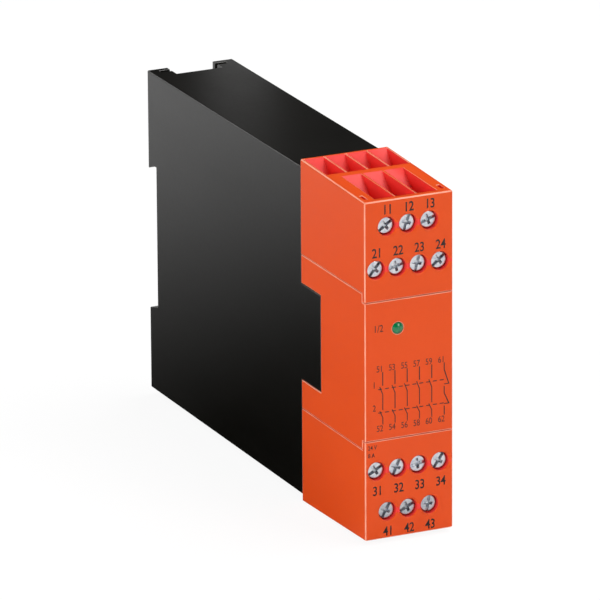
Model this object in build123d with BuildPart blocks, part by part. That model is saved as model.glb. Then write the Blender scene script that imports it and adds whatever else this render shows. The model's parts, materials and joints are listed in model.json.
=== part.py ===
from build123d import *
import os
from math import sqrt

os.makedirs("parts", exist_ok=True)

# The module stands upright. Its front faces -Y, and its rear hooks over a mounting rail.
# The origin is the middle of the rail seat: y = 0 is the face that the rail lies against,
# z = 0 is the rail's centre line, and x = 0 is the middle of the width. Sizes are in mm.

# Outside of the module
width = 22.5
depth = 121.0
rim_height = 84.0  # over the rear rim of the orange front
front_face_height = 81.9
housing_height = 80.5
middle_above_rail = 0.8
rim_depth = 34.2  # from the front face to the orange rear rim
tab_depth = 23.7  # from the front face to the housing's side tabs
tab_height = 23.8
edge_radius = 0.45
housing_edge_radius = 0.3

# Mounting rail and what holds it
rail_width = 35.0
rail_slack = 0.4
recess_depth = 4.5
flank_drop = 1.2  # how much lower each flank of the recess is at its rear
hook_reach = 2.3  # past the edge of the rail
hook_height = 1.4  # from the rail seat to the back of the fixed hook
hook_width = 12.0

# Housing walls
side_wall = 1.2
end_wall = 2.0
tower_wall = 1.5
notch_width = 11.9
notch_length = 5.6
notch_drop = 3.0
notch_groove_reach = 2.8  # past each side of the notch, behind the rear wall
notch_groove_length = 1.4
guide_rib = 0.8
guide_rib_height = 1.5

# Fits between pieces
seam = 0.15
plug_fit = 0.1
seat_gap = 0.05
plug_length = 3.0

# Front cover
plate = 2.0
skirt_wall = 1.2
plate_seam_height = 33.8
skirt_seam_height = 38.0
lip = 1.3  # the terminal block's front wall, which laps over the cover
cover_step = 1.6
snap_length = 3.4
snap_root = 4.6
snap_thickness = 1.0
snap_height = 16.0

# Status lamp
lamp_x = -2.85
lamp_height = 9.8  # above the middle
lamp_diameter = 2.7
lamp_dome = 0.5
lamp_fit = 0.05
lamp_boss_wall = 1.0
lamp_boss_length = 6.0
lamp_chip = 2.0
lamp_chip_height = 0.8

# Terminal rows: heights are from the middle, upwards and downwards
pitch = 5.4
outer_row = 34.5
inner_row = 24.35
outer_count = 3
inner_count = 4
outer_tongue_depth = 8.15  # from the front face to the current bar
inner_tongue_depth = 24.15

# Terminal screws
head_diameter = 4.2
head_height = 1.7
head_depth = 1.3
head_pocket_gap = 0.15
head_edge = 0.35
shank_diameter = 2.9
slot_width = 0.75
slot_depth = 0.7
cross_width = 0.85
cross_length = 2.7
cross_depth = 1.0

# Clamp cages and the current bars that run through them
thread_gap = 0.05
cage_front_wall = 1.2
cage_rear_wall = 1.0
cage_side_wall = 0.7
cage_height = 4.6
cage_gap = 0.1
clamp_travel = 2.5
chamber_wall = 0.8
tongue_thickness = 0.9
wire_space = 2.95
tip_gap = 0.15
tongue_below_row = 4.1
tail_width = 1.2
tail_height = 1.0
tail_length_past_board = 1.0

# Wire funnels
rib = 0.7
outer_funnel_start = 1.5
outer_funnel_end = 19.2
inner_funnel_start = 21.5
inner_funnel_end = 33.5
inner_funnel_depth = 5.0
throat = 4.4
wire_hole = 3.2
marker_slot_width = 0.8
marker_slot_length = 2.7
marker_slot_depth = 1.5
marker_slot_start = 2.2
marker_slot_margin = 1.05

# Circuit boards
board = 1.6
board_edge_gap = 0.15
relay_board_offset = 1.4  # from the housing's left side wall
relay_board_rear_gap = 2.5  # to the housing's rear wall

# Components on the relay board
relay_side_gap = 1.1  # to the housing's right side wall
relay_front_gap = 6.2  # behind the terminal board
relay_height = 30.0
relay_spacing = 34.0
relay_edge = 0.6
component_room = 6.0  # in front of and behind the middle of the supply components
capacitor_diameter = 8.0
capacitor_length = 12.0
capacitor_height = 24.0
varistor_diameter = 8.0
varistor_thickness = 4.0
varistor_height = 10.0
rectifier_length = 8.6
rectifier_width = 6.4
rectifier_thickness = 3.4
rectifier_height = -6.0

# Rail latch
latch_width = 10.0
latch_flange = 1.2
latch_flange_depth = 1.2
latch_depth = 2.6
latch_gap = 0.2
latch_travel = 3.0
latch_foot_height = 3.0
latch_foot_slot = 4.4
latch_foot_slot_height = 0.8
latch_window_width = 4.6
latch_window_top = 3.6  # below the lower edge of the rail recess
lug_width = 4.0
lug_height = 2.9
spring_diameter = 2.4
spring_wire = 0.4
spring_turns = 7
spring_spare = 4.2  # left when the latch is pulled all the way down

# Places worked out from the sizes
half_width = width / 2
plate_half = plate_seam_height / 2
skirt_half = skirt_seam_height / 2
inner_half_width = half_width - side_wall
tab_half = tab_height / 2
housing_half = housing_height / 2
recess_half = (rail_width + rail_slack) / 2
plug_end = rim_depth + plug_length
board_back = plug_end + board
chamber_width = pitch - chamber_wall
cage_width = chamber_width - 2 * cage_gap
funnel_width = pitch - rib
recess_bottom = -recess_half
housing_top = middle_above_rail + housing_half
housing_bottom = middle_above_rail - housing_half
relay_board_x = -inner_half_width + relay_board_offset + board / 2
relay_board_face = relay_board_x + board / 2
relay_board_end = depth - recess_depth - end_wall - relay_board_rear_gap
component_depth = relay_board_end - component_room
relay_start = board_back + relay_front_gap
relay_end = component_depth - component_room
relay_side = inner_half_width - relay_side_gap


def y_of(distance):
    """The y of a place this far behind the front face."""
    return recess_depth - depth + distance


def z_of(height, side):
    """The z of a place this far above the middle (side 1) or below it (side -1)."""
    return middle_above_rail + side * height


def towards_rear(x, distance, z):
    """A plane behind the front face that looks towards the rear."""
    return Plane(origin=(x, y_of(distance), z), x_dir=(1, 0, 0), z_dir=(0, 1, 0))


def box_between(x_range, y_range, z_range, mode=Mode.ADD):
    """A block between two corners, for the piece being built."""
    x_low, x_high = sorted(x_range)
    y_low, y_high = sorted(y_range)
    z_low, z_high = sorted(z_range)
    with Locations(((x_low + x_high) / 2, (y_low + y_high) / 2, (z_low + z_high) / 2)):
        Box(x_high - x_low, y_high - y_low, z_high - z_low, mode=mode)


def side_profile(points, x, half_thickness, mode=Mode.ADD):
    """An outline seen from the side, as (y, z) points, made solid both ways from x."""
    with BuildSketch(Plane.YZ.offset(x)) as outline:
        with BuildLine():
            Polyline(*points, close=True)
        make_face()
    extrude(outline.sketch, amount=half_thickness, both=True, mode=mode)


def round_bar(x, distances, z, diameter, mode=Mode.ADD):
    """A round bar or hole that runs from front to rear."""
    with Locations(towards_rear(x, distances[0], z)):
        Cylinder(
            diameter / 2,
            distances[1] - distances[0],
            align=(Align.CENTER, Align.CENTER, Align.MIN),
            mode=mode,
        )


def save(piece, name):
    """Label a finished piece and write it as a STEP file."""
    piece.label = name
    export_step(piece, f"parts/{name}.step")


def row_places(count):
    """The x of each terminal in a row of this many."""
    return [pitch * (number - (count - 1) / 2) for number in range(count)]


# Each row: its name, side, height from the middle, number of terminals, depth of its
# current bars, and how far each screw head happens to be turned, in degrees
rows = [
    ("top", 1, outer_row, outer_count, outer_tongue_depth, (35, 70, 20)),
    ("upper", 1, inner_row, inner_count, inner_tongue_depth, (50, 15, 75, 40)),
    ("lower", -1, inner_row, inner_count, inner_tongue_depth, (30, 65, 10, 55)),
    ("bottom", -1, outer_row, outer_count, outer_tongue_depth, (60, 25, 80)),
]


# Distances behind the front face, for the bars at one depth
def screw_tip(tongue_depth):
    return tongue_depth - tip_gap


def cage_front(tongue_depth):
    return screw_tip(tongue_depth) - cage_front_wall


def cage_back(tongue_depth):
    return tongue_depth + tongue_thickness + wire_space + cage_rear_wall


def wire_depth(tongue_depth):
    return tongue_depth + tongue_thickness + wire_space / 2


def tail_hole_x(x):
    """The x range of the hole for a current bar's tail."""
    return x - tail_width / 2 - seat_gap, x + tail_width / 2 + seat_gap


def tail_hole_z(row_height, side):
    """The z range of the hole for a current bar's tail."""
    low = row_height - tongue_below_row
    return z_of(low - seat_gap, side), z_of(low + tail_height + seat_gap, side)


def outer_face(distance):
    """How far the sloping top or bottom of the orange front is from the middle."""
    slope = (rim_height - front_face_height) / 2 / rim_depth
    return front_face_height / 2 + slope * distance


# Terminal blocks, each one moulding with screw pockets, cage chambers and wire funnels
def funnel(x, side, start, end, throat_middle, floor):
    """A wire funnel that opens at the sloping outer face and narrows to its throat."""
    above = 1.0
    side_profile(
        [
            (y_of(start), z_of(outer_face(start) + above, side)),
            (y_of(start), z_of(outer_face(start), side)),
            (y_of(throat_middle - throat / 2), z_of(floor, side)),
            (y_of(throat_middle + throat / 2), z_of(floor, side)),
            (y_of(end), z_of(outer_face(end), side)),
            (y_of(end), z_of(outer_face(end) + above, side)),
        ],
        x,
        funnel_width / 2,
        Mode.SUBTRACT,
    )


def clamp_chamber(x, side, row_height, tongue_depth):
    """Everything that one terminal needs: screw bore, cage chamber, bar slot, tail slot."""
    z = z_of(row_height, side)
    chamber_front = cage_front(tongue_depth) - clamp_travel - cage_gap
    chamber_back = cage_back(tongue_depth) + cage_gap
    chamber_half = cage_height / 2 + cage_gap
    bore = head_diameter + 2 * head_pocket_gap
    round_bar(x, (0, chamber_front), z, bore, Mode.SUBTRACT)
    box_between(
        (x - chamber_width / 2, x + chamber_width / 2),
        (y_of(chamber_front), y_of(chamber_back)),
        (z - chamber_half, z + chamber_half),
        Mode.SUBTRACT,
    )
    bar_half = cage_width / 2 - cage_side_wall - cage_gap + seat_gap
    bar_front = tongue_depth - seat_gap
    bar_low = row_height - tongue_below_row - seat_gap
    box_between(
        (x - bar_half, x + bar_half),
        (y_of(bar_front), y_of(bar_front + tongue_thickness + 2 * seat_gap)),
        (z_of(bar_low, side), z),
        Mode.SUBTRACT,
    )
    tail_y = (y_of(bar_front), y_of(plug_end))
    box_between(tail_hole_x(x), tail_y, tail_hole_z(row_height, side), Mode.SUBTRACT)


def terminal_block(side):
    """The upper (side 1) or lower (side -1) block."""
    plug_inner = skirt_half + plug_fit
    plug_outer = housing_half - end_wall - plug_fit
    outer_top = outer_row + cage_height / 2 + cage_gap
    with BuildPart() as block:
        side_profile(
            [
                (y_of(0), z_of(plate_half, side)),
                (y_of(0), z_of(outer_face(0), side)),
                (y_of(rim_depth), z_of(outer_face(rim_depth), side)),
                (y_of(rim_depth), z_of(skirt_half, side)),
                (y_of(lip), z_of(skirt_half, side)),
                (y_of(lip), z_of(plate_half, side)),
            ],
            0,
            half_width,
        )
        upright = block.edges().filter_by(Axis.Z).group_by(Axis.Y)[0]
        front_end = block.edges().filter_by(Axis.X).group_by(Axis.Y)[0]
        outer_front = front_end.sort_by(Axis.Z)[-1 if side > 0 else 0]
        slope_edges = block.edges().filter_by(
            lambda edge: abs(edge.length - sqrt(
                rim_depth**2 + ((rim_height - front_face_height) / 2) ** 2)) < 0.01
        )
        fillet(list(upright) + [outer_front] + list(slope_edges), edge_radius)
        box_between(
            (-inner_half_width + plug_fit, inner_half_width - plug_fit),
            (y_of(rim_depth), y_of(plug_end)),
            (z_of(plug_inner, side), z_of(plug_outer, side)),
        )
        for name, row_side, row_height, count, tongue_depth, turns in rows:
            if row_side != side:
                continue
            middle = wire_depth(tongue_depth)
            for x in row_places(count):
                clamp_chamber(x, side, row_height, tongue_depth)
                if row_height == outer_row:
                    funnel(x, side, outer_funnel_start, outer_funnel_end, middle, outer_top)
                    continue
                floor = outer_face(middle) - inner_funnel_depth
                funnel(x, side, inner_funnel_start, inner_funnel_end, middle, floor)
                with BuildSketch(Plane.XY.offset(z_of(row_height, side))) as hole:
                    with Locations((x, y_of(middle))):
                        Rectangle(wire_hole, wire_hole)
                extrude(hole.sketch, amount=side * (floor + 1 - row_height), mode=Mode.SUBTRACT)
        for x_side in (-1, 1):
            slot_middle = x_side * (half_width - marker_slot_margin - marker_slot_width / 2)
            slot_top = outer_face(marker_slot_start + marker_slot_length)
            box_between(
                (slot_middle - marker_slot_width / 2, slot_middle + marker_slot_width / 2),
                (y_of(marker_slot_start), y_of(marker_slot_start + marker_slot_length)),
                (z_of(slot_top - marker_slot_depth, side), z_of(slot_top + 1, side)),
                Mode.SUBTRACT,
            )
    return block.part


save(terminal_block(1), "upper_terminal_block")
save(terminal_block(-1), "lower_terminal_block")


# Terminal screws: a low head with a combined cross and slot, and a plain-cored shank
def terminal_screw(x, z, tongue_depth, turn):
    with BuildPart() as screw:
        round_bar(x, (head_depth, head_depth + head_height), z, head_diameter)
        front_rim = screw.edges().filter_by(GeomType.CIRCLE).sort_by(Axis.Y)[0]
        fillet(front_rim, head_edge)
        round_bar(x, (head_depth + head_height, screw_tip(tongue_depth)), z, shank_diameter)
        with BuildSketch(towards_rear(x, head_depth, z)) as slot:
            Rectangle(head_diameter + 1, slot_width, rotation=turn)
        extrude(slot.sketch, amount=slot_depth, mode=Mode.SUBTRACT)
        with BuildSketch(towards_rear(x, head_depth, z)) as cross:
            Rectangle(cross_length, cross_width, rotation=turn)
            Rectangle(cross_width, cross_length, rotation=turn)
        extrude(cross.sketch, amount=cross_depth, mode=Mode.SUBTRACT)
    return screw.part


# Clamp cages: a square collar whose front wall is threaded on the screw
def clamp_cage(x, z, tongue_depth):
    front = cage_front(tongue_depth)
    back = cage_back(tongue_depth)
    with BuildPart() as cage:
        box_between(
            (x - cage_width / 2, x + cage_width / 2),
            (y_of(front), y_of(back)),
            (z - cage_height / 2, z + cage_height / 2),
        )
        fillet(cage.edges().filter_by(Axis.Z), cage_side_wall / 2)
        inside = cage_width / 2 - cage_side_wall
        box_between(
            (x - inside, x + inside),
            (y_of(front + cage_front_wall), y_of(back - cage_rear_wall)),
            (z - cage_height / 2, z + cage_height / 2),
            Mode.SUBTRACT,
        )
        bore = shank_diameter + 2 * thread_gap
        round_bar(x, (front, front + cage_front_wall), z, bore, Mode.SUBTRACT)
    return cage.part


# Current bars: a flat tongue through the cage, with a tail to the terminal board
def current_bar(x, side, row_height, tongue_depth):
    bar_half = cage_width / 2 - cage_side_wall - cage_gap
    low = row_height - tongue_below_row
    with BuildPart() as bar:
        box_between(
            (x - bar_half, x + bar_half),
            (y_of(tongue_depth), y_of(tongue_depth + tongue_thickness)),
            (z_of(low, side), z_of(row_height + cage_height / 2, side)),
        )
        box_between(
            (x - tail_width / 2, x + tail_width / 2),
            (y_of(tongue_depth), y_of(board_back + tail_length_past_board)),
            (z_of(low, side), z_of(low + tail_height, side)),
        )
    return bar.part


for name, side, row_height, count, tongue_depth, turns in rows:
    z = z_of(row_height, side)
    for number, (x, turn) in enumerate(zip(row_places(count), turns), start=1):
        save(terminal_screw(x, z, tongue_depth, turn), f"screw_{name}_{number}")
        save(clamp_cage(x, z, tongue_depth), f"cage_{name}_{number}")
        save(current_bar(x, side, row_height, tongue_depth), f"current_bar_{name}_{number}")


# Front cover between the blocks: a plate with side skirts that snap behind the housing's tabs
lamp_z = z_of(lamp_height, 1)
with BuildPart() as front_cover:
    plate_z = (z_of(plate_half - seam, -1), z_of(plate_half - seam, 1))
    skirt_z = (z_of(skirt_half - seam, -1), z_of(skirt_half - seam, 1))
    box_between((-half_width, half_width), (y_of(0), y_of(plate)), plate_z)
    fillet(front_cover.edges().filter_by(Axis.Z).group_by(Axis.Y)[0], edge_radius)
    step_front = lip + seam
    step_back = step_front + cover_step
    box_between((-half_width, half_width), (y_of(step_front), y_of(step_back)), skirt_z)
    for x_side in (-1, 1):
        outside = x_side * half_width
        skirt_x = (outside, outside - x_side * skirt_wall)
        box_between(skirt_x, (y_of(step_front), y_of(rim_depth)), skirt_z)
    box_between(
        (-half_width, half_width),
        (y_of(tab_depth), y_of(rim_depth)),
        (z_of(tab_half, -1), z_of(tab_half, 1)),
        Mode.SUBTRACT,
    )
    for x_side in (-1, 1):
        snap_outside = x_side * (inner_half_width - plug_fit)
        snap_inside = snap_outside - x_side * snap_thickness
        snap_z = (z_of(snap_height / 2, -1), z_of(snap_height / 2, 1))
        snap_y = (y_of(tab_depth - snap_root), y_of(tab_depth + snap_length))
        box_between((snap_outside, snap_inside), snap_y, snap_z)
        root_outside = x_side * (half_width - skirt_wall)
        root_y = (y_of(tab_depth - snap_root), y_of(tab_depth - seam))
        box_between((root_outside, snap_inside), root_y, snap_z)
    boss_back = step_back + lamp_boss_length
    boss_diameter = lamp_diameter + 2 * lamp_boss_wall
    round_bar(lamp_x, (plate / 2, boss_back), lamp_z, boss_diameter)
    round_bar(lamp_x, (0, boss_back), lamp_z, lamp_diameter + 2 * lamp_fit, Mode.SUBTRACT)
save(front_cover.part, "front_cover")


# Light pipe: a green rod with a domed end that carries the lamp's light to the front
lamp_radius = lamp_diameter / 2
chip_front = plug_end - lamp_chip_height
pipe_back = chip_front - seat_gap
with BuildPart() as light_pipe:
    with BuildSketch(Plane.XY.offset(lamp_z)):
        lamp_side = lamp_x + lamp_radius
        with BuildLine():
            dome = TangentArc((lamp_x, y_of(-lamp_dome)), (lamp_side, y_of(0)), tangent=(1, 0))
            Polyline(dome @ 1, (lamp_side, y_of(pipe_back)), (lamp_x, y_of(pipe_back)), dome @ 0)
        make_face()
    revolve(axis=Axis((lamp_x, 0, lamp_z), (0, 1, 0)))
save(light_pipe.part, "light_pipe")


# Status lamp chip on the terminal board
with BuildPart() as status_led:
    box_between(
        (lamp_x - lamp_chip / 2, lamp_x + lamp_chip / 2),
        (y_of(chip_front), y_of(plug_end)),
        (lamp_z - lamp_chip / 2, lamp_z + lamp_chip / 2),
    )
save(status_led.part, "status_led")


# Terminal board, upright behind both blocks, with a hole for each current bar's tail
with BuildPart() as terminal_board:
    board_half_height = housing_half - end_wall - board_edge_gap
    board_half_width = inner_half_width - board_edge_gap
    board_y = (y_of(plug_end), y_of(board_back))
    board_z = (z_of(board_half_height, -1), z_of(board_half_height, 1))
    box_between((-board_half_width, board_half_width), board_y, board_z)
    for name, side, row_height, count, tongue_depth, turns in rows:
        for x in row_places(count):
            box_between(tail_hole_x(x), board_y, tail_hole_z(row_height, side), Mode.SUBTRACT)
save(terminal_board.part, "terminal_board")


# Relay board, along the left side, held by guide ribs in the housing
with BuildPart() as relay_board:
    board_x = (relay_board_x - board / 2, relay_board_face)
    box_between(board_x, (y_of(board_back), y_of(relay_board_end)), board_z)
    tail_y = (y_of(board_back), y_of(board_back + tail_length_past_board + seat_gap))
    for name, side, row_height, count, tongue_depth, turns in rows:
        box_between(board_x, tail_y, tail_hole_z(row_height, side), Mode.SUBTRACT)
save(relay_board.part, "relay_board")


# Relays: sealed cans with the coil and the forcibly guided contacts inside
def relay(side):
    middle = z_of(relay_spacing / 2, side)
    with BuildPart() as can:
        box_between(
            (relay_board_face, relay_side),
            (y_of(relay_start), y_of(relay_end)),
            (middle - relay_height / 2, middle + relay_height / 2),
        )
        fillet(can.faces().sort_by(Axis.X)[-1].edges(), relay_edge)
    return can.part


save(relay(1), "upper_relay")
save(relay(-1), "lower_relay")


# Supply components behind the relays
with BuildPart() as smoothing_capacitor:
    with BuildSketch(Plane.YZ.offset(relay_board_face)):
        with Locations((y_of(component_depth), z_of(capacitor_height, 1))):
            Circle(capacitor_diameter / 2)
    extrude(amount=capacitor_length)
    fillet(smoothing_capacitor.edges().sort_by(Axis.X)[-1], relay_edge)
save(smoothing_capacitor.part, "smoothing_capacitor")

with BuildPart() as surge_varistor:
    with BuildSketch(Plane.XZ.offset(-y_of(component_depth - varistor_thickness / 2))):
        with Locations((relay_board_face + varistor_diameter / 2, z_of(varistor_height, 1))):
            Circle(varistor_diameter / 2)
    extrude(amount=-varistor_thickness)
    fillet(surge_varistor.edges().filter_by(GeomType.CIRCLE), relay_edge)
save(surge_varistor.part, "surge_varistor")

with BuildPart() as bridge_rectifier:
    rectifier_z = z_of(rectifier_height, 1)
    box_between(
        (relay_board_face, relay_board_face + rectifier_thickness),
        (y_of(component_depth - rectifier_width / 2), y_of(component_depth + rectifier_width / 2)),
        (rectifier_z - rectifier_length / 2, rectifier_z + rectifier_length / 2),
    )
save(bridge_rectifier.part, "bridge_rectifier")


# Latch places, from the recess down to the foot
latch_front = hook_height + (recess_depth - hook_height - latch_depth) / 2
latch_back = latch_front + latch_depth
latch_tip = hook_reach - rail_width / 2
latch_foot = housing_bottom
spring_solid = spring_wire * (spring_turns + 1)
spring_room = spring_solid + latch_travel + spring_spare
window_top = recess_bottom - latch_window_top
window_bottom = window_top - spring_room - lug_height - latch_gap
lug_bottom = window_bottom + latch_gap
lug_top = lug_bottom + lug_height
flange_half = latch_width / 2 + latch_flange
channel_front = latch_front - latch_gap


# Housing: one deep moulding, open at the front, with the rail recess and the latch channel
with BuildPart() as housing:
    box_between(
        (-half_width, half_width), (y_of(rim_depth), y_of(depth)), (housing_bottom, housing_top)
    )
    fillet(housing.edges().filter_by(Axis.Y), housing_edge_radius)
    box_between(
        (-half_width, half_width),
        (y_of(tab_depth), y_of(rim_depth)),
        (z_of(tab_half - seam, -1), z_of(tab_half - seam, 1)),
    )
    box_between(
        (-inner_half_width, inner_half_width),
        (y_of(tab_depth), -end_wall),
        (housing_bottom + end_wall, housing_top - end_wall),
        Mode.SUBTRACT,
    )
    box_between(
        (-inner_half_width, inner_half_width),
        (-end_wall, recess_depth - tower_wall),
        (recess_half + end_wall, housing_top - end_wall),
        Mode.SUBTRACT,
    )
    side_profile(
        [
            (0, -recess_half),
            (0, recess_half),
            (hook_height, recess_half),
            (recess_depth, recess_half - flank_drop),
            (recess_depth, -recess_half - flank_drop),
        ],
        0,
        half_width,
        Mode.SUBTRACT,
    )
    box_between(
        (-notch_width / 2, notch_width / 2),
        (recess_depth - notch_length, recess_depth),
        (housing_top - notch_drop, housing_top),
        Mode.SUBTRACT,
    )
    groove_half = notch_width / 2 + notch_groove_reach
    groove_back = recess_depth - tower_wall
    box_between(
        (-groove_half, groove_half),
        (groove_back - notch_groove_length, groove_back),
        (housing_top - notch_drop, housing_top),
        Mode.SUBTRACT,
    )
    # fixed hook over the rail's upper edge
    box_between(
        (-hook_width / 2, hook_width / 2),
        (hook_height, recess_depth),
        (rail_width / 2 - hook_reach, recess_half),
    )
    hook_edge = housing.edges().filter_by(Axis.X).filter_by_position(
        Axis.Z, rail_width / 2 - hook_reach - seam, rail_width / 2 - hook_reach + seam
    )
    chamfer(hook_edge.sort_by(Axis.Y)[-1], hook_reach / 2)
    # latch channel, with a wide part that holds the latch's flanges
    box_between(
        (-flange_half - latch_gap, flange_half + latch_gap),
        (channel_front, latch_front + latch_flange_depth + latch_gap),
        (housing_bottom, recess_bottom),
        Mode.SUBTRACT,
    )
    box_between(
        (-latch_width / 2 - latch_gap, latch_width / 2 + latch_gap),
        (channel_front, recess_depth),
        (housing_bottom, recess_bottom),
        Mode.SUBTRACT,
    )
    box_between((-lug_width / 2, lug_width / 2), (channel_front, latch_back), (lug_bottom, lug_top))
    # guide ribs for the relay board, on the top and bottom walls
    wall = housing_half - end_wall
    left_rib = relay_board_face - board - board_edge_gap - guide_rib
    for side in (-1, 1):
        for x in (left_rib, relay_board_face + board_edge_gap):
            box_between(
                (x, x + guide_rib),
                (y_of(board_back + board), y_of(relay_board_end)),
                (z_of(wall, side), z_of(wall - guide_rib_height, side)),
            )
save(housing.part, "housing")


# Rail latch: a sliding plate whose hook snaps under the rail's lower edge
with BuildPart() as rail_latch:
    box_between((-latch_width / 2, latch_width / 2), (latch_front, latch_back), (latch_foot, latch_tip))
    tip_edge = rail_latch.edges().filter_by(Axis.X).group_by(Axis.Z)[-1].sort_by(Axis.Y)[-1]
    chamfer(tip_edge, hook_reach / 2)
    box_between(
        (-flange_half, flange_half),
        (latch_front, latch_front + latch_flange_depth),
        (latch_foot, recess_bottom - latch_gap),
    )
    box_between(
        (-latch_window_width / 2, latch_window_width / 2),
        (latch_front, latch_back),
        (window_bottom, window_top),
        Mode.SUBTRACT,
    )
    box_between(
        (-latch_foot_slot / 2, latch_foot_slot / 2),
        (latch_front + latch_flange_depth, latch_back),
        (latch_foot + latch_foot_height, latch_foot + latch_foot_height - latch_foot_slot_height),
        Mode.SUBTRACT,
    )
save(rail_latch.part, "rail_latch")


# Latch spring, between the housing's lug and the top of the latch's window
spring_bottom = lug_top + spring_wire / 2 + seat_gap
spring_top = window_top - spring_wire / 2 - seat_gap
spring_length = spring_top - spring_bottom
with BuildPart() as latch_spring:
    spring_y = (latch_front + latch_back) / 2
    with BuildLine(Plane(origin=(0, spring_y, spring_bottom))) as coil:
        Helix(
            pitch=spring_length / spring_turns,
            height=spring_length,
            radius=(spring_diameter - spring_wire) / 2,
        )
    with BuildSketch(Plane(origin=coil.line @ 0, z_dir=coil.line % 0)):
        Circle(spring_wire / 2)
    sweep()
save(latch_spring.part, "latch_spring")
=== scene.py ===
# %% [markdown]
# # A slim safety relay module, dressed in Blender
# The module is a black housing with an orange front that clips on a mounting rail. The
# construction already exists as a fixed frame in metres: +Z is up and the front faces -Y.
# This notebook adds the looks: rounded edges, real screw heads, print, plastics and light.

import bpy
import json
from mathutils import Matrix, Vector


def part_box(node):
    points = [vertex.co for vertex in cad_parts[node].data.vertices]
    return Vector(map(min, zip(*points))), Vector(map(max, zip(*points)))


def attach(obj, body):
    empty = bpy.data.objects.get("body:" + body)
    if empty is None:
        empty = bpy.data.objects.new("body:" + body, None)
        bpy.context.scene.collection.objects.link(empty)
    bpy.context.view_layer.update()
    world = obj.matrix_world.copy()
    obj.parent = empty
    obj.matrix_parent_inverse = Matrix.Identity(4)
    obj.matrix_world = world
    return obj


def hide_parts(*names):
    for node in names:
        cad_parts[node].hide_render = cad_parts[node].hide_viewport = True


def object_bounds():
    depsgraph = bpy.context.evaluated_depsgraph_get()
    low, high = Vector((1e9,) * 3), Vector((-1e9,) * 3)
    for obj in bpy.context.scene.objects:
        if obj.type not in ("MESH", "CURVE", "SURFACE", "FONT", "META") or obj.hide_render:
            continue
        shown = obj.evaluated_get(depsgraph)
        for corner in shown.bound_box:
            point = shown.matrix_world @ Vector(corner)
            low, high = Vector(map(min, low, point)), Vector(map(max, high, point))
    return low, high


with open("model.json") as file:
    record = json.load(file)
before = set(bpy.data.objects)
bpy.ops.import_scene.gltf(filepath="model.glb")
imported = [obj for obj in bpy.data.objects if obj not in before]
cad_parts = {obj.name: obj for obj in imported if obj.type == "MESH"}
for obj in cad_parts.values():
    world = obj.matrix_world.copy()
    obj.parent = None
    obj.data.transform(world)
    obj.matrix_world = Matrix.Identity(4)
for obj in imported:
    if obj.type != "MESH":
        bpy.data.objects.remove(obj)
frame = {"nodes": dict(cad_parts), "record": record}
nodes = frame["nodes"]
cad_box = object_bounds()

# %% Modules and the places that every cell uses
import json
import math

import bmesh
import bpy
from mathutils import Matrix, Vector

mm = 0.001
low, high = (Vector(corner) for corner in cad_box)
front_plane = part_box("front_cover")[0].y
side_plane = high.x
middle_level = 0.8 * mm
print("front plane at y =", round(front_plane / mm, 2), "mm")


# %% [markdown]
# ## The camera
# The picture of such a module is taken with a long lens from the left, a little above. A long
# lens stands far away and keeps upright edges nearly parallel. The place, the aim and the
# focal length were found by fitting known corners of the module, so they are plain numbers.

# %% Add the camera
camera_place = Vector((-0.7463, -1.6552, 0.5801))
camera_aim = Vector((0.0024, -0.0565, -0.00118))
camera_roll = math.radians(-0.33)

bpy.ops.object.select_all(action="DESELECT")
bpy.ops.object.camera_add(location=camera_place)
camera = bpy.context.object
camera.name = "camera"
turn = (camera_aim - camera_place).to_track_quat("-Z", "Y").to_matrix()
camera.rotation_euler = (turn @ Matrix.Rotation(camera_roll, 3, "Z")).to_euler()
camera.data.lens = 471.5
camera.data.sensor_width = 36
camera.data.shift_x, camera.data.shift_y = -0.0123, 0.0003
camera.data.clip_end = 20
bpy.context.scene.camera = camera
print("camera to aim:", round((camera_aim - camera_place).length, 3), "m")


# %% [markdown]
# ## Shader maths as plain Python
# A material is a graph of nodes. Wiring each Math node by hand is slow to read, so one small
# class wraps an output socket and overloads the operators: `a * 2 + b` then adds the nodes.
# A second class holds one graph and adds every other kind of node through one method.

# %% A socket that can be added and multiplied
class Wire:
    def __init__(self, graph, socket):
        self.graph = graph
        self.socket = socket

    def maths(self, operation, *others):
        return self.graph.node("ShaderNodeMath", {"operation": operation}, self, *others)

    def __add__(self, other):
        return self.maths("ADD", other)

    def __mul__(self, other):
        return self.maths("MULTIPLY", other)

    def __sub__(self, other):
        return self.maths("SUBTRACT", other)

    def __rsub__(self, other):
        return self.graph.node("ShaderNodeMath", {"operation": "SUBTRACT"}, other, self)

    __radd__ = __add__
    __rmul__ = __mul__

    def ramp(self, start, end):
        """0 below start, 1 above end, and a smooth rise between them."""
        settings = {"interpolation_type": "SMOOTHSTEP"}
        return self.graph.node("ShaderNodeMapRange", settings, self, start, end, 0.0, 1.0)


# %% A graph of shader nodes
class Graph:
    def __init__(self, tree):
        self.tree = tree

    def put(self, socket, value):
        if isinstance(value, Wire):
            self.tree.links.new(value.socket, socket)
        elif isinstance(value, tuple) and len(socket.default_value) == 4:
            socket.default_value = (*value, 1.0)
        else:
            socket.default_value = value

    def node(self, kind, settings, *inputs, output=0, **named):
        """Adds a node: its settings first, then its sockets, in order or by name."""
        node = self.tree.nodes.new(kind)
        for key, value in settings.items():
            setattr(node, key, value)
        for socket, value in zip([s for s in node.inputs if s.enabled], inputs):
            self.put(socket, value)
        for name, value in named.items():
            self.put(node.inputs[name.replace("_", " ")], value)
        return Wire(self, node.outputs[output])


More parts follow.
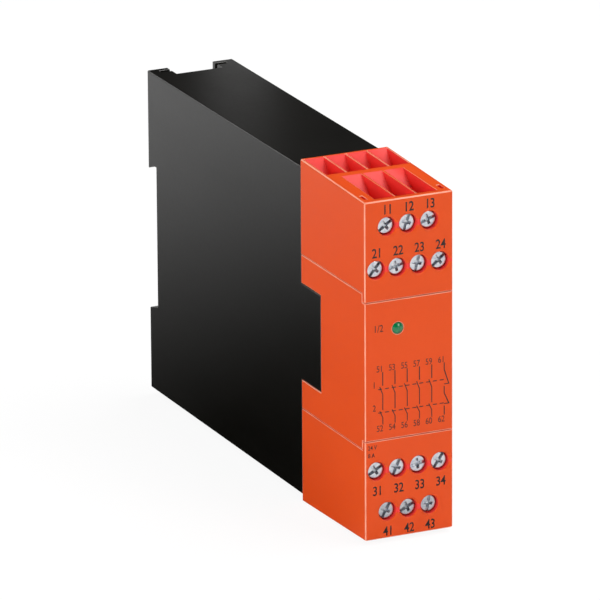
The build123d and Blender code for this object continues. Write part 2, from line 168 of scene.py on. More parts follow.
# %% A finish, which is a graph around one shader
class Finish(Graph):
    def __init__(self, name, color, roughness, **constants):
        self.material = bpy.data.materials.new(name)
        self.material.use_nodes = True
        super().__init__(self.material.node_tree)
        self.shader = self.tree.nodes["Principled BSDF"]
        self.place = self.node("ShaderNodeTexCoord", {}, output="Object")
        self.set("Base Color", color)
        self.set("Roughness", roughness)
        for socket, value in constants.items():
            self.set(socket.replace("_", " "), value)

    def set(self, name, value):
        self.put(self.shader.inputs[name], value)

    def noise(self, size, detail=2.0, stretch=(1.0, 1.0, 1.0)):
        """Noise whose blotches are about this large, in metres."""
        place = self.node("ShaderNodeMapping", {}, self.place, Scale=stretch)
        return self.node("ShaderNodeTexNoise", {}, Vector=place, Scale=1 / size, Detail=detail)

    def mix(self, factor, first, second):
        settings = {"data_type": "RGBA", "clamp_factor": True}
        return self.node("ShaderNodeMix", settings, factor, first, second, output=2)

    def bump(self, height, distance, strength=1.0):
        """Raises the surface by up to this distance, in metres, where height is 1."""
        wire = self.node("ShaderNodeBump", {}, Strength=strength, Distance=distance, Height=height)
        self.set("Normal", wire)


# %% [markdown]
# ## Moulded plastic
# Both plastics are glass-filled polyamide. Its surface copies the spark-eroded steel of the
# mould, so it is matt with a very fine grain, and flow lines make it uneven by a few percent.
# The grain is bump from small noise. The rounded edges carry a painted highlight: a paler base
# colour, varied by noise, and a lower roughness; each dressed piece carries an attribute that
# marks the faces of its rounded edges. The hollows' walls carry a painted shade: a deeper red
# base colour, like the red that light bouncing about in a hollow gives, and a second attribute
# marks these walls.

# %% Orange and black plastic
# painted highlight: this attribute marks the rounded edges, whose base colour turns paler
highlight_mark = "painted_edge_highlight"
# painted shade: this attribute marks the hollows' walls, whose base colour turns a deeper red
hollow_mark = "painted_hollow_shade"


def moulded_plastic(
    name, color, darker, edge, roughness, edge_roughness, hollow=None, **constants
):
    finish = Finish(name, color, roughness, **constants)
    flow = finish.noise(22 * mm, 3.0, (1.0, 0.6, 1.6))
    specks = finish.noise(0.9 * mm, 2.0)
    # painted highlight: on the marked edge faces the base colour turns to the paler edge colour,
    # varied by noise
    highlighted = finish.node("ShaderNodeAttribute", {"attribute_name": highlight_mark}, output=2)
    painted_highlight = highlighted * (finish.noise(5 * mm, 3.0).ramp(0.15, 0.6) * 0.5 + 0.5)
    tone = finish.mix(flow.ramp(0.32, 0.68) * 0.7 + specks.ramp(0.35, 0.8) * 0.3, darker, color)
    # painted shade: the marked hollows' walls take the deeper red hollow colour in place of the
    # orange
    if hollow:
        walls = finish.node("ShaderNodeAttribute", {"attribute_name": hollow_mark}, output=2)
        tone = finish.mix(walls, tone, hollow)
    finish.set("Base Color", finish.mix(painted_highlight, tone, edge))
    even = (flow - 0.5) * 0.08 + (specks - 0.5) * 0.06 + roughness
    finish.set("Roughness", even + highlighted * (edge_roughness - roughness))
    grain = finish.noise(0.16 * mm, 3.0)
    finish.bump(grain, 0.010 * mm, 0.5)
    return finish.material


# In each plastic the third colour is the painted highlight of the rounded edges; the orange's last
# colour is the painted shade of the hollows' walls.
orange_plastic = moulded_plastic(
    "orange_plastic", (0.830, 0.082, 0.005), (0.795, 0.075, 0.005), (0.940, 0.400, 0.270),
    0.46, 0.32, (0.880, 0.044, 0.036), Specular_IOR_Level=0.3,
)
black_plastic = moulded_plastic(
    "black_plastic", (0.0052, 0.0046, 0.0034), (0.0040, 0.0036, 0.0027),
    (0.060, 0.058, 0.054), 0.36, 0.30,
)
latch_plastic = moulded_plastic(
    "latch_plastic", (0.010, 0.010, 0.010), (0.008, 0.008, 0.008), (0.040, 0.040, 0.038),
    0.46, 0.36,
)
print("plastics:", orange_plastic.name, black_plastic.name, latch_plastic.name)


# %% [markdown]
# ## Metals
# The screws are steel with bright zinc, which is bluish and softly mirroring. Cages are nickel
# plated, and current bars and the spring have fine drawn lines. A metal has no colour below
# its reflection, so small changes of roughness do most of the work.

# %% Plated and drawn metals
def plated_metal(name, color, tint, roughness, stretch=(1.0, 1.0, 1.0)):
    finish = Finish(name, color, roughness, Metallic=1.0)
    cloud = finish.noise(0.7 * mm, 3.0)
    lines = finish.noise(0.12 * mm, 2.0, stretch)
    finish.set("Base Color", finish.mix(cloud.ramp(0.35, 0.75), color, tint))
    finish.set("Roughness", (cloud - 0.5) * 0.16 + (lines - 0.5) * 0.14 + roughness)
    finish.bump(lines, 0.004 * mm, 0.6)
    return finish.material


zinc_steel = plated_metal("zinc_steel", (0.66, 0.68, 0.70), (0.46, 0.50, 0.58), 0.30)
nickel_brass = plated_metal("nickel_brass", (0.72, 0.69, 0.63), (0.64, 0.61, 0.55), 0.22)
along_bar = (6.0, 0.3, 0.3)
tinned_brass = plated_metal(
    "tinned_brass", (0.78, 0.77, 0.74), (0.70, 0.69, 0.66), 0.34, along_bar
)
along_wire = (1.0, 1.0, 4.0)
spring_steel = plated_metal(
    "spring_steel", (0.55, 0.55, 0.55), (0.44, 0.44, 0.45), 0.26, along_wire
)
print("metals:", zinc_steel.name, nickel_brass.name, tinned_brass.name, spring_steel.name)


# %% [markdown]
# ## Print, lamp and the parts inside
# The print is a thin layer of dark ink, a little glossier than the plastic. The lamp is a
# green plastic rod: light enters its rear and leaves its dome. Inside are a green board with
# copper under its mask, pale relay cans and small parts.

# %% Ink and green lens
print_ink = Finish("print_ink", (0.012, 0.006, 0.004), 0.5)
worn = print_ink.noise(0.35 * mm, 3.0)
thin_ink = worn.ramp(0.45, 0.8) * 0.5
print_ink.set("Base Color", print_ink.mix(thin_ink, (0.010, 0.005, 0.004), (0.05, 0.018, 0.010)))
print_ink.set("Roughness", worn * 0.15 + 0.45)

green_lens = Finish("green_lens", (0.0, 0.17, 0.05), 0.2, Coat_Weight=0.35, Coat_Roughness=0.08)
cloudy = green_lens.noise(1.6 * mm, 2.0)
lens_tone = green_lens.mix(cloudy.ramp(0.3, 0.7), (0.0, 0.14, 0.045), (0.0, 0.20, 0.065))
green_lens.set("Base Color", lens_tone)
green_lens.set("Roughness", cloudy * 0.1 + 0.16)
green_lens.bump(green_lens.noise(0.5 * mm), 0.004 * mm, 0.4)

# %% Circuit board and components
circuit_board = Finish("circuit_board", (0.03, 0.16, 0.07), 0.32)
across = circuit_board.node("ShaderNodeSeparateXYZ", {}, circuit_board.place, output=1)
upwards = circuit_board.node("ShaderNodeSeparateXYZ", {}, circuit_board.place, output=2)
waves_per_metre = 2 * math.pi / (2.54 * mm)
upright_tracks = (across * waves_per_metre).maths("SINE").ramp(0.30, 0.42)
level_tracks = (upwards * waves_per_metre).maths("SINE").ramp(0.30, 0.42)
patches = circuit_board.noise(14 * mm, 1.0).ramp(0.48, 0.52)
tracks = upright_tracks * patches + level_tracks * (1 - patches)
mask_tone = circuit_board.mix(tracks, (0.018, 0.115, 0.048), (0.040, 0.190, 0.075))
circuit_board.set("Base Color", mask_tone)
circuit_board.set("Roughness", circuit_board.noise(2 * mm) * 0.12 + 0.28)
circuit_board.bump(tracks, 0.03 * mm, 0.5)


def component_case(name, color, other, roughness, grain=0.25):
    finish = Finish(name, color, roughness)
    spread = finish.noise(5 * mm, 2.0)
    finish.set("Base Color", finish.mix(spread.ramp(0.35, 0.65), color, other))
    finish.set("Roughness", (spread - 0.5) * 0.12 + roughness)
    finish.bump(finish.noise(grain * mm), 0.01 * mm, 0.4)
    return finish.material


relay_case = component_case("relay_case", (0.82, 0.80, 0.74), (0.76, 0.74, 0.69), 0.34)
sleeve = component_case("capacitor_sleeve", (0.02, 0.03, 0.08), (0.03, 0.04, 0.10), 0.22)
coating = component_case("varistor_coating", (0.05, 0.14, 0.40), (0.04, 0.11, 0.33), 0.28, 0.5)
component_black = component_case("component_black", (0.02, 0.02, 0.02), (0.03, 0.03, 0.03), 0.5)
lamp_chip = component_case("lamp_chip", (0.85, 0.85, 0.75), (0.78, 0.78, 0.66), 0.2)
print("materials:", len(bpy.data.materials))


# %% [markdown]
# ## Dress the hidden pieces
# A node of the frame whose shape is already right keeps its mesh and only gets a material in
# its slots. That is so for everything inside and for the lamp's rod.

# %% Give each kept node its material
slot_finish = {
    "latch_plastic": latch_plastic,
    "spring_steel": spring_steel,
    "circuit_board": circuit_board.material,
    "relay_case": relay_case,
    "capacitor_sleeve": sleeve,
    "varistor_coating": coating,
    "component_black": component_black,
    "lamp_chip": lamp_chip,
    "green_lens": green_lens.material,
    "zinc_steel": zinc_steel,
    "nickel_brass": nickel_brass,
    "tinned_brass": tinned_brass,
    "black_plastic": black_plastic,
    "orange_plastic": orange_plastic,
}
slots = {part["node"]: part["material_slot"] for part in frame["record"]["subparts"]}
for name, node in nodes.items():
    node.data.materials.clear()
    node.data.materials.append(slot_finish[slots[name]])
print("dressed nodes:", len(slots))


# %% [markdown]
# ## Helpers for modelling
# Each helper is what a hand would do: pick a piece, go into edit mode, select by place, use a
# tool, and leave. Everything is deselected first, because a tool works on all that is selected.

# %% Edit mode helpers
def pick(*pieces):
    bpy.ops.object.select_all(action="DESELECT")
    for piece in pieces:
        piece.select_set(True)
    bpy.context.view_layer.objects.active = pieces[0]


def edit(piece):
    pick(piece)
    bpy.ops.object.mode_set(mode="EDIT")


def leave():
    bpy.ops.object.mode_set(mode="OBJECT")


def choose(piece, kind, test):
    """In edit mode, select only the verts, edges or faces for which the test holds."""
    bpy.ops.mesh.select_all(action="DESELECT")
    bpy.ops.mesh.select_mode(type={"verts": "VERT", "edges": "EDGE", "faces": "FACE"}[kind])
    mesh = bmesh.from_edit_mesh(piece.data)
    chosen = [item for item in getattr(mesh, kind) if test(item)]
    for item in chosen:
        item.select_set(True)
    mesh.select_flush_mode()
    bmesh.update_edit_mesh(piece.data)
    return len(chosen)


def apply_modifier(piece, kind, **settings):
    pick(piece)
    bpy.ops.object.modifier_add(type=kind)
    modifier = piece.modifiers[-1]
    for key, value in settings.items():
        setattr(modifier, key, value)
    bpy.ops.object.modifier_apply(modifier=modifier.name)


def join(name, pieces):
    pick(*pieces)
    if len(pieces) > 1:
        bpy.ops.object.join()
    piece = bpy.context.object
    piece.name = piece.data.name = name
    return piece


def place_in_mesh(piece):
    """Moves the object's own place, turn and size into its mesh."""
    pick(piece)
    bpy.ops.object.transform_apply(location=True, rotation=True, scale=True)


def rides(piece, body, material, slot, *replaced):
    piece.data.materials.clear()
    piece.data.materials.append(material)
    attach(piece, body)
    if replaced:
        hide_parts(*replaced)


# %% Copy a node and round its edges
def copy_of(node_name, name):
    """A copy of a node's mesh with its loose triangles merged into one skin."""
    piece = nodes[node_name].copy()
    piece.data = piece.data.copy()
    piece.parent = None
    for key in list(piece.keys()):
        del piece[key]
    bpy.context.scene.collection.objects.link(piece)
    piece.name = piece.data.name = name
    edit(piece)
    bpy.ops.mesh.customdata_custom_splitnormals_clear()
    bpy.ops.mesh.select_all(action="SELECT")
    bpy.ops.mesh.remove_doubles(threshold=0.002 * mm)
    leave()
    return piece


def flatten_faces(piece):
    """Dissolves the triangles of each flat face into that one face."""
    edit(piece)
    bpy.ops.mesh.select_all(action="SELECT")
    bpy.ops.mesh.dissolve_limited(angle_limit=math.radians(0.5))
    leave()


def corner_angle(edge):
    if len(edge.link_faces) != 2:
        return 0.0
    first, second = (face.normal for face in edge.link_faces)
    return math.degrees(first.angle(second, 0.0))


def round_edges(piece, test, width, segments):
    edit(piece)
    chosen = choose(piece, "edges", test)
    if chosen:
        bpy.ops.mesh.bevel(
            offset=width, segments=segments, profile=0.5, affect="EDGES", clamp_overlap=False
        )
    leave()
    return chosen


def smooth(piece, angle=35.0):
    """Smooth shading that keeps large flat faces flat."""
    pick(piece)
    bpy.ops.object.shade_smooth_by_angle(angle=math.radians(angle))
    apply_modifier(piece, "WEIGHTED_NORMAL", keep_sharp=True)


strip_reach = 0.42 * mm
hollow_reach = 0.25 * mm
square_to_an_axis = 0.93
sharp_corner = 50  # degrees


def mark_highlight_edges(piece, outer_faces, skipped=lambda point: False):
    """Marks the tilted strips along the outer edges, which rounding has made, for the painted
    highlight.
    """
    mark = piece.data.attributes.new(highlight_mark, "FLOAT", "FACE")
    strips = 0
    for number, face in enumerate(piece.data.polygons):
        tilted = max(abs(part) for part in face.normal) < square_to_an_axis
        outside = any(distance(face.center) < strip_reach for distance in outer_faces)
        if tilted and outside and not skipped(face.center):
            mark.data[number].value = 1.0
            strips += 1
    return strips


def mark_hollows(piece, outer_faces):
    """Marks every face that lies deeper than the rounded edges, for the painted shade in hollows.
    """
    mark = piece.data.attributes.new(hollow_mark, "FLOAT", "FACE")
    for number, face in enumerate(piece.data.polygons):
        if all(distance(face.center) > hollow_reach for distance in outer_faces):
            mark.data[number].value = 1.0


near = 0.02 * mm


def from_side(point):
    return abs(side_plane - abs(point.x))


def from_front(point):
    return abs(point.y - front_plane)


# %% [markdown]
# ## The black housing
# It is one deep moulding. Moulds have small radii at every outer edge, and these thin rounded
# edges catch the light as fine bright lines, which a painted highlight in their base colour makes
# brighter. A copy of the frame's solid gets them: the outer edges that are still sharp are
# selected by their angle and place, and bevelled.

# %% Round the housing's edges
housing = copy_of("housing", "housing_shell")
flatten_faces(housing)
housing_low, housing_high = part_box("housing")
housing_radius = 0.18 * mm


def from_rear(point):
    return abs(point.y - housing_high.y)


def from_top_or_bottom(point):
    return min(abs(point.z - housing_low.z), abs(point.z - housing_high.z))


def housing_edge(edge):
    middle = (edge.verts[0].co + edge.verts[1].co) / 2
    outside = any(test(middle) < near for test in (from_side, from_rear, from_top_or_bottom))
    return outside and corner_angle(edge) > sharp_corner


rounded = round_edges(housing, housing_edge, housing_radius, 2)
smooth(housing)
strips = mark_highlight_edges(housing, (from_side, from_rear, from_top_or_bottom))
rides(housing, "module", black_plastic, "black_plastic", "housing")
print("housing edges rounded:", rounded, "rubbed strips:", strips)


# %% [markdown]
# ## The rail latch
# The latch is a sliding plate in the housing's foot that snaps under the rail's lower edge. It
# is moulded too, so it gets the same small radii.

# %% Round the latch's edges
latch = copy_of("rail_latch", "latch_slide")
flatten_faces(latch)
latch_radius = 0.15 * mm
rounded = round_edges(latch, lambda edge: corner_angle(edge) > sharp_corner, latch_radius, 2)
smooth(latch)
rides(latch, "latch", latch_plastic, "latch_plastic", "rail_latch")
print("latch edges rounded:", rounded)


# %% [markdown]
# ## The orange terminal blocks
# Round each screw is a shallow dish that guides the driver. Neighbouring dishes overlap, so
# each is cut with a cone and a boolean. The walls of the wire funnels lean as their mould
# slides need: the mouths grow and the floors shrink.

# %% Places of the terminals
pitch = 5.4 * mm
inner_row, outer_row = 24.35 * mm, 34.5 * mm
row_counts = {inner_row: 4, outer_row: 3}


def row_places(count):
    return [pitch * (number - (count - 1) / 2) for number in range(count)]


# %% Cut a dish round each screw
dish_radius = 2.95 * mm
dish_depth = 0.4 * mm
bore_radius = 2.25 * mm
past_both_ends = 0.1 * mm
dish_flare = (dish_radius - bore_radius) / dish_depth


def resize_mesh(piece, share):
    edit(piece)
    bpy.ops.mesh.select_all(action="SELECT")
    bpy.ops.transform.resize(value=(share, share, share), center_override=(0, 0, 0))
    leave()


def cut_dishes(block, side):
    """Cuts in millimetres: a boolean loses details that are microns in Blender's units."""
    resize_mesh(block, 1 / mm)
    for height, count in row_counts.items():
        for x in row_places(count):
            middle = Vector((x, front_plane + dish_depth / 2, middle_level + side * height))
            bpy.ops.object.select_all(action="DESELECT")
            bpy.ops.mesh.primitive_cone_add(
                vertices=48,
                radius1=(dish_radius + dish_flare * past_both_ends) / mm,
                radius2=(bore_radius - dish_flare * past_both_ends) / mm,
                depth=(dish_depth + 2 * past_both_ends) / mm,
                location=middle / mm,
                rotation=(math.radians(-90), 0, 0),
            )
            cone = bpy.context.object
            apply_modifier(block, "BOOLEAN", object=cone, operation="DIFFERENCE", solver="FAST")
            bpy.data.objects.remove(cone)
    resize_mesh(block, mm)


def in_dish(point):
    side = math.copysign(1, point.z - middle_level)
    return any(
        math.hypot(point.x - x, point.z - middle_level - side * height) < dish_radius + near
        for height, count in row_counts.items()
        for x in row_places(count)
    )


def open_edges(piece):
    """Counts edges that do not join exactly two faces: none in a closed mesh."""
    uses = {}
    for face in piece.data.polygons:
        for key in face.edge_keys:
            uses[key] = uses.get(key, 0) + 1
    return sum(use != 2 for use in uses.values())


# %% Lean the funnels' walls
funnel_half = 2.35 * mm
funnels = {  # start and end, behind the front
    outer_row: (1.5 * mm, 19.2 * mm),
    inner_row: (21.5 * mm, 33.5 * mm),
}
mouth_widening = 0.13 * mm
floor_narrowing = 0.12 * mm
below_floors = 36.5 * mm
below_mouths = 40.5 * mm


def shape_funnels(block, side):
    moved = 0
    edit(block)
    for height, count in row_counts.items():
        start, end = funnels[height]
        for x in row_places(count):
            for wall in (-1, 1):
                wall_x = x + wall * funnel_half

                def on_wall(vert):
                    behind = vert.co.y - front_plane
                    level = side * (vert.co.z - middle_level)
                    inside = start - near < behind < end + near
                    beside = abs(vert.co.x - wall_x) < near
                    return inside and beside and level > below_floors

                def at_mouth(vert):
                    level = side * (vert.co.z - middle_level)
                    return on_wall(vert) and level > below_mouths

                moved += choose(block, "verts", at_mouth)
                bpy.ops.transform.translate(value=(wall * mouth_widening, 0, 0))
                moved += choose(block, "verts", on_wall)
                bpy.ops.transform.translate(value=(-wall * floor_narrowing, 0, 0))
    leave()
    return moved


# %% Shape and round both blocks
block_names = {1: "upper_terminal_block", -1: "lower_terminal_block"}
front_height, rim_height, rim_depth = 81.9 * mm, 84.0 * mm, 34.2 * mm
outer_slope = (rim_height - front_height) / 2 / rim_depth
block_radius = 0.14 * mm
for side, node_name in block_names.items():
    block = copy_of(node_name, node_name.replace("block", "moulding"))

    def from_outer_face(point):
        height = front_height / 2 + outer_slope * (point.y - front_plane)
        return abs(point.z - middle_level - side * height)

    outer_faces = (from_side, from_front, from_outer_face)

    def block_edge(edge):
        if corner_angle(edge) < sharp_corner:
            return False
        ends = [vert.co for vert in edge.verts]
        return any(all(test(end) < 2 * near for end in ends) for test in outer_faces)

    cut_dishes(block, side)
    opened = open_edges(block)
    flatten_faces(block)
    moved = shape_funnels(block, side)
    rounded = round_edges(block, block_edge, block_radius, 2)
    smooth(block)
    mark_highlight_edges(block, outer_faces, in_dish)
    mark_hollows(block, outer_faces)
    rides(block, "module", orange_plastic, "orange_plastic", node_name)
    print(node_name, "open edges:", opened, "moved:", moved, "edges rounded:", rounded)


# %% [markdown]
# ## The orange front cover
# The plate between the blocks carries the lamp and the print. Its upper and lower edges meet
# the blocks in fine seams, and their rounded edges, which catch the light and carry a painted
# highlight, make the pale line below each seam.

# %% Round the front cover's edges
cover = copy_of("front_cover", "front_plate")
flatten_faces(cover)


def cover_edge(edge):
    if corner_angle(edge) < sharp_corner:
        return False
    ends = [vert.co for vert in edge.verts]
    return any(all(test(end) < near for end in ends) for test in (from_side, from_front))


cover_radius = 0.2 * mm
rounded = round_edges(cover, cover_edge, cover_radius, 2)
smooth(cover)
strips = mark_highlight_edges(cover, (from_side, from_front))
rides(cover, "module", orange_plastic, "orange_plastic", "front_cover")
print("cover edges rounded:", rounded, "strips:", strips)


# %% [markdown]
# ## The terminal screws
# A terminal screw has a low cheese head with a combined recess: a slot for a flat driver and
# a cross in it. Head and recess are a cylinder cut by blocks, with the burr of the press
# rounded off. The thread is one triangular turn, wound up by a Screw modifier.

# %% Model the screw head once
head_radius, head_height = 2.1 * mm, 1.7 * mm
rim_radius, burr_radius = 0.35 * mm, 0.05 * mm
slot_size = (6 * mm, 1.4 * mm, 0.75 * mm)  # twice as deep as the cut
cross_size = (2.9 * mm, 2.2 * mm, 0.8 * mm)
tip_share = 0.72
facing_front = (math.radians(90), 0, 0)


def block_at(size, place, turned=0.0):
    bpy.ops.object.select_all(action="DESELECT")
    bpy.ops.mesh.primitive_cube_add(size=1, location=place)
    cutter = bpy.context.object
    cutter.scale = size
    cutter.rotation_euler = (0, turned, 0)
    place_in_mesh(cutter)
    return cutter


def taper(cutter, share):
    """Makes the deep end of a cutter smaller, as a driver's tip is."""
    edit(cutter)
    choose(cutter, "verts", lambda vert: vert.co.y > 0)
    bpy.ops.transform.resize(value=(share, 1, share), center_override=(0, 0, 0))
    leave()


bpy.ops.object.select_all(action="DESELECT")
bpy.ops.mesh.primitive_cylinder_add(
    vertices=64, radius=head_radius, depth=head_height, location=(0, head_height / 2, 0),
    rotation=facing_front,
)
screw_head = bpy.context.object
place_in_mesh(screw_head)
rim_edges = round_edges(
    screw_head,
    lambda edge: all(vert.co.y < near for vert in edge.verts),
    rim_radius,
    5,
)
slot_cutter = block_at(slot_size, (0, 0, 0))
cross_cutters = [block_at(cross_size, (0, 0, 0), turned) for turned in (0, math.radians(90))]
for cutter in cross_cutters:
    taper(cutter, tip_share)
for cutter in (slot_cutter, *cross_cutters):
    apply_modifier(screw_head, "BOOLEAN", object=cutter, operation="DIFFERENCE", solver="EXACT")
    bpy.data.objects.remove(cutter)
recess_edges = round_edges(
    screw_head,
    lambda edge: all(vert.co.y < near for vert in edge.verts) and corner_angle(edge) > 40,
    burr_radius,
    2,
)
print("head rim edges:", rim_edges, "recess edges:", recess_edges)

# %% Wind the thread and cut it to length
thread_pitch = 0.5 * mm
crest, root = 1.45 * mm, 1.2 * mm
into_head = 0.05 * mm
same_place = 0.001 * mm


def threaded_shank(length):
    """A closed thread from the head's back to the tip."""
    bpy.ops.object.select_all(action="DESELECT")
    bpy.ops.mesh.primitive_circle_add(vertices=3, radius=1)
    thread = bpy.context.object
    edit(thread)
    tip = max(vert.co.y for vert in bmesh.from_edit_mesh(thread.data).verts)
    choose(thread, "edges", lambda edge: all(vert.co.y < tip - 0.1 for vert in edge.verts))
    bpy.ops.mesh.delete(type="EDGE_FACE")
    leave()
    for vert in thread.data.vertices:
        is_crest = vert.co.y > tip - 0.1
        beside = 0 if is_crest else math.copysign(thread_pitch / 2, vert.co.x)
        vert.co = (crest if is_crest else root, beside, 0)
    turns = round(length / thread_pitch) + 2
    apply_modifier(
        thread, "SCREW", axis="Y", angle=2 * math.pi, screw_offset=thread_pitch,
        iterations=turns, steps=24, render_steps=24, use_merge_vertices=True,
        merge_threshold=same_place,
    )
    edit(thread)
    bpy.ops.mesh.select_all(action="SELECT")
    bpy.ops.mesh.remove_doubles(threshold=same_place)
    for end, direction in ((thread_pitch, -1), (thread_pitch + length, 1)):
        bpy.ops.mesh.select_all(action="SELECT")
        bpy.ops.mesh.bisect(
            plane_co=(0, end, 0), plane_no=(0, direction, 0), use_fill=True, clear_outer=True
        )
    bpy.ops.mesh.select_all(action="SELECT")
    bpy.ops.mesh.normals_make_consistent(inside=False)
    bpy.ops.transform.translate(value=(0, head_height - into_head - thread_pitch, 0))
    leave()
    return thread


def copy_piece(piece, name):
    twin = piece.copy()
    twin.data = piece.data.copy()
    twin.name = name
    bpy.context.scene.collection.objects.link(twin)
    return twin


head_depth = 1.3 * mm
screw_patterns = {}
for height, tip_depth in ((outer_row, 8.0 * mm), (inner_row, 24.0 * mm)):
    shank = threaded_shank(tip_depth - head_depth - head_height)
    pattern = join("screw_pattern", [copy_piece(screw_head, "head"), shank])
    smooth(pattern, 40)
    screw_patterns[height] = pattern
bpy.data.objects.remove(screw_head)
print("screw faces:", [len(pattern.data.polygons) for pattern in screw_patterns.values()])

# %% Set a screw in each terminal
head_turns = {
    "top": (1, outer_row, (35, 70, 20)),
    "upper": (1, inner_row, (50, 15, 75, 40)),
    "lower": (-1, inner_row, (30, 65, 10, 55)),
    "bottom": (-1, outer_row, (60, 25, 80)),
}
for row, (side, height, turns) in head_turns.items():
    for number, (x, degrees) in enumerate(zip(row_places(len(turns)), turns), start=1):
        screw = copy_piece(screw_patterns[height], f"terminal_screw_{row}_{number}")
        screw.data.name = screw.name
        screw.rotation_euler = (0, -math.radians(degrees), 0)
        screw.location = (x, front_plane + head_depth, middle_level + side * height)
        place_in_mesh(screw)
        body = f"screw_{row}_{number}"
        rides(screw, body, zinc_steel, "zinc_steel", body)
for pattern in screw_patterns.values():
    bpy.data.objects.remove(pattern)
print("screws set:", sum(len(turns) for side, height, turns in head_turns.values()))


# %% [markdown]
# ## The print
# Terminals are numbered, and a diagram shows which contacts the module closes. The print is
# a film of ink. Text objects and drawn lines are turned into thin meshes that stand a
# hundredth of a millimetre proud of the plastic, as screen print does.

# %% Numbers beside the screws
ink_thickness = 0.02 * mm
ink_plane = front_plane - 0.004 * mm


def printed(text, x, z, height, side_anchor="CENTER", width=0.82, weight=0.014):
    """A line of print, this high, whose middle is at x and z."""
    bpy.ops.object.select_all(action="DESELECT")
    bpy.ops.object.text_add(location=(0, 0, 0))
    letters = bpy.context.object
    letters.data.body = text
    letters.data.align_x = side_anchor
    letters.data.size = 1
    letters.data.offset = weight
    letters.data.resolution_u = 5
    pick(letters)
    bpy.ops.object.convert(target="MESH")
    letters = bpy.context.object
    tops = [vert.co.y for vert in letters.data.vertices]
    share = height / (max(tops) - min(tops))
    letters.scale = (share * width, share, share)
    letters.location = (0, -share * (max(tops) + min(tops)) / 2, 0)
    place_in_mesh(letters)
    letters.rotation_euler = facing_front
    letters.location = (x, ink_plane, z)
    place_in_mesh(letters)
    apply_modifier(letters, "SOLIDIFY", thickness=ink_thickness, offset=0)
    return letters


number_height = 2.3 * mm
label_places = {
    "top": (("11", "12", "13"), 39.5 * mm),
    "upper": (("21", "22", "23", "24"), 29.35 * mm),
    "lower": (("31", "32", "33", "34"), -28.2 * mm),
    "bottom": (("41", "42", "43"), -38.35 * mm),
}
labels = [
    printed(text, x, z, number_height)
    for texts, z in label_places.values()
    for text, x in zip(texts, row_places(len(texts)))
]
numbers = join("terminal_numbers", labels)
rides(numbers, "module", print_ink.material, "component_black")
print("numbers printed:", len(labels))

# %% Draw the contact diagram
line_width = 0.26 * mm


def drawn(strokes):
    """Lines of ink along these strokes, each a list of (x, z) in millimetres."""
    pieces = []
    for points in strokes:
        curve = bpy.data.curves.new("stroke", "CURVE")
        curve.dimensions = "3D"
        curve.bevel_depth = line_width / 2
        curve.bevel_resolution = 1
        curve.use_fill_caps = True
        spline = curve.splines.new("POLY")
        spline.points.add(len(points) - 1)
        for point, (x, z) in zip(spline.points, points):
            point.co = (x * mm, 0, z * mm, 1)
        stroke = bpy.data.objects.new("stroke", curve)
        bpy.context.scene.collection.objects.link(stroke)
        pick(stroke)
        bpy.ops.object.convert(target="MESH")
        pieces.append(bpy.context.object)
    drawing = join("stroke", pieces)
    drawing.scale = (1, ink_thickness / line_width, 1)
    drawing.location = (0, ink_plane, 0)
    place_in_mesh(drawing)
    return drawing


closing_columns = (-6.73, -3.60, -0.47, 2.66, 5.79)
opening_column = 9.0
strokes = []
for x in closing_columns:
    strokes += [
        [(x, 0.5), (x, -2.8)],
        [(x - 0.75, -3.0), (x, -4.9), (x, -8.7)],
        [(x - 0.75, -8.9), (x, -10.5), (x, -12.2)],
    ]
for top, foot in ((0.5, -4.7), (-5.2, -9.5)):
    x = opening_column
    strokes += [[(x, top), (x, top - 1.7), (x + 1.15, foot)], [(x, foot), (x + 1.3, foot)]]
strokes.append([(opening_column, -10.0), (opening_column, -12.2)])
for level in (-3.6, -9.3):
    dash_starts = [-7.9 + 1.75 * number for number in range(10)]
    strokes += [[(start, level), (start + 1.0, level)] for start in dash_starts]
small = 1.5 * mm
columns = (*closing_columns, opening_column)
diagram_labels = [
    printed(text, (x - 0.75) * mm, z * mm, small, weight=0.0)
    for texts, z in ((("51", "53", "55", "57", "59", "61"), 1.35),
                     (("52", "54", "56", "58", "60", "62"), -13.1))
    for text, x in zip(texts, columns)
]
diagram_labels += [
    printed(text, -8.9 * mm, z * mm, small, weight=0.0) for text, z in (("1", -2.4), ("2", -8.0))
]
diagram = join("contact_diagram", [drawn(strokes), *diagram_labels])
rides(diagram, "module", print_ink.material, "component_black")
print("strokes drawn:", len(strokes))

# %% Print the small plain numbers
note_size = 1.05 * mm
notes = [
    printed("1/2", -7.8 * mm, 11.1 * mm, 1.7 * mm, weight=0.0),
    printed("24 V", -10.5 * mm, -17.5 * mm, note_size, "LEFT"),
    printed("8 A", -10.5 * mm, -19.4 * mm, note_size, "LEFT"),
]
small_print = join("small_print", notes)
rides(small_print, "module", print_ink.material, "component_black")
print("small numbers printed:", len(notes))


# %% [markdown]
# ## Floor, light and white background
# The module stands on a pale floor that fills the picture. Soft lamps light it: one above to
# the right that makes the rounded edges shine, one at the left, one in front, a weak one at
# the right and two behind, of which the small one shines on the black top. The world is dark
# towards the horizon and bright overhead. The black plastic mirrors what lies around it: for
# mirror rays the floor glows with a painted reflection, dark near the module as a painted shade
# for its shadow and brighter further away, and camera rays see it white with the module's shadow.

# %% Lay the floor
floor_size = 12.0
bpy.ops.object.select_all(action="DESELECT")
bpy.ops.mesh.primitive_plane_add(size=floor_size, location=(0, 0, low.z))
floor = bpy.context.object
floor.name = "floor"
pale_floor = Finish("pale_floor", (0.86, 0.86, 0.86), 0.9)


def ray_kind(graph, kind):
    return graph.node("ShaderNodeLightPath", {}, output=kind)


def mix_shaders(graph, factor, first, second):
    return graph.node("ShaderNodeMixShader", {}, factor, first, second)


def seen_in_picture(graph):
    """1 for rays that reach the camera, also those through clear pieces."""
    return ray_kind(graph, "Is Camera Ray").maths(
        "MAXIMUM", ray_kind(graph, "Is Transmission Ray")
    )


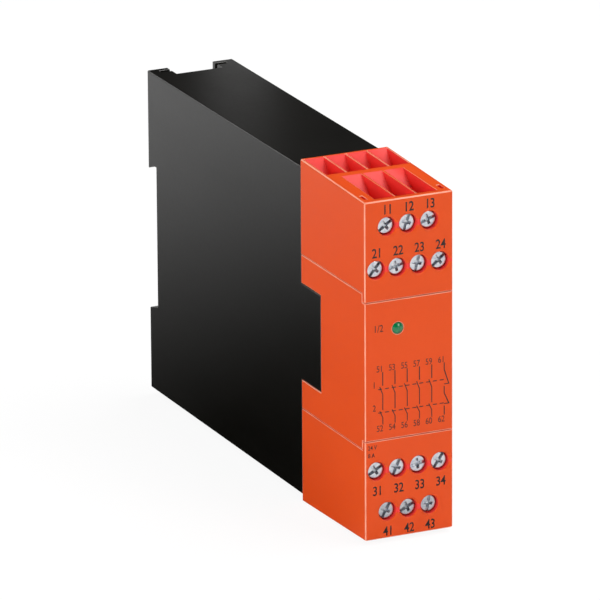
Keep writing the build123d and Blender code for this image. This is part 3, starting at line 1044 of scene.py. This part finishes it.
across = pale_floor.node("ShaderNodeSeparateXYZ", {}, pale_floor.place, output=0)
back = pale_floor.node("ShaderNodeSeparateXYZ", {}, pale_floor.place, output=1)
# painted reflection for mirror rays only: the floor's glow is dark near the module, a painted
# shade standing in for its shadow, and brighter further away and in front of it
falling = back * back * 15.6 + (across + back) * 2.0 + 0.075
before_module = (0.0 - back).ramp(0.09, 0.16) * 0.9
mirrored = (falling.maths("MAXIMUM", 0.0) + before_module).maths("MINIMUM", 1.1)
painted_reflection_glow = pale_floor.node("ShaderNodeEmission", {}, Color=(1, 1, 1), Strength=mirrored)
white_glow = pale_floor.node("ShaderNodeEmission", {}, Color=(1, 1, 1), Strength=1.04)
plain = Wire(pale_floor, pale_floor.shader.outputs[0])
seen = seen_in_picture(pale_floor)
in_mirror = mix_shaders(pale_floor, ray_kind(pale_floor, "Is Glossy Ray"), plain, painted_reflection_glow)
in_view = mix_shaders(pale_floor, 0.88, plain, white_glow)
surface = mix_shaders(pale_floor, seen, in_mirror, in_view)
pale_floor.put(pale_floor.tree.nodes["Material Output"].inputs["Surface"], surface)
floor.data.materials.append(pale_floor.material)


# %% Set the lamps
def soft_lamp(name, place, size, power):
    bpy.ops.object.light_add(type="AREA", location=place)
    lamp = bpy.context.object
    lamp.name = name
    lamp.data.shape = "DISK"
    lamp.data.size = size
    lamp.data.energy = power
    aim = Vector((0, -0.05, 0)) - Vector(place)
    lamp.rotation_euler = aim.to_track_quat("-Z", "Y").to_euler()
    lamp.visible_camera = False
    return lamp


soft_lamp("above", (0.46, -0.10, 1.10), 0.92, 10)
soft_lamp("left", (-1.10, -0.50, 0.28), 1.0, 11.2)
soft_lamp("front", (0.60, -1.10, 0.55), 0.6, 4.6)
soft_lamp("behind", (-0.35, 1.00, 0.50), 0.5, 1.2)
soft_lamp("right", (1.10, -0.15, 0.25), 0.5, 1.2)
soft_lamp("rear_card", (0.045, 0.074, 0.063), 0.02, 0.0007)

# %% Set the world
world = bpy.data.worlds.new("studio")
bpy.context.scene.world = world
world.use_nodes = True
studio = Graph(world.node_tree)
direction = studio.node("ShaderNodeTexCoord", {}, output="Generated")
upwards = studio.node("ShaderNodeSeparateXYZ", {}, direction, output=2)
ceiling = upwards.ramp(0.60, 0.95) * 0.45 + 0.008
room = studio.node("ShaderNodeBackground", {}, (1, 1, 1), ceiling)
white = studio.node("ShaderNodeBackground", {}, (1, 1, 1), 1.0)
seen = seen_in_picture(studio)
surface = mix_shaders(studio, seen, room, white)
studio.put(studio.tree.nodes["World Output"].inputs["Surface"], surface)
bpy.context.scene.view_settings.view_transform = "Standard"
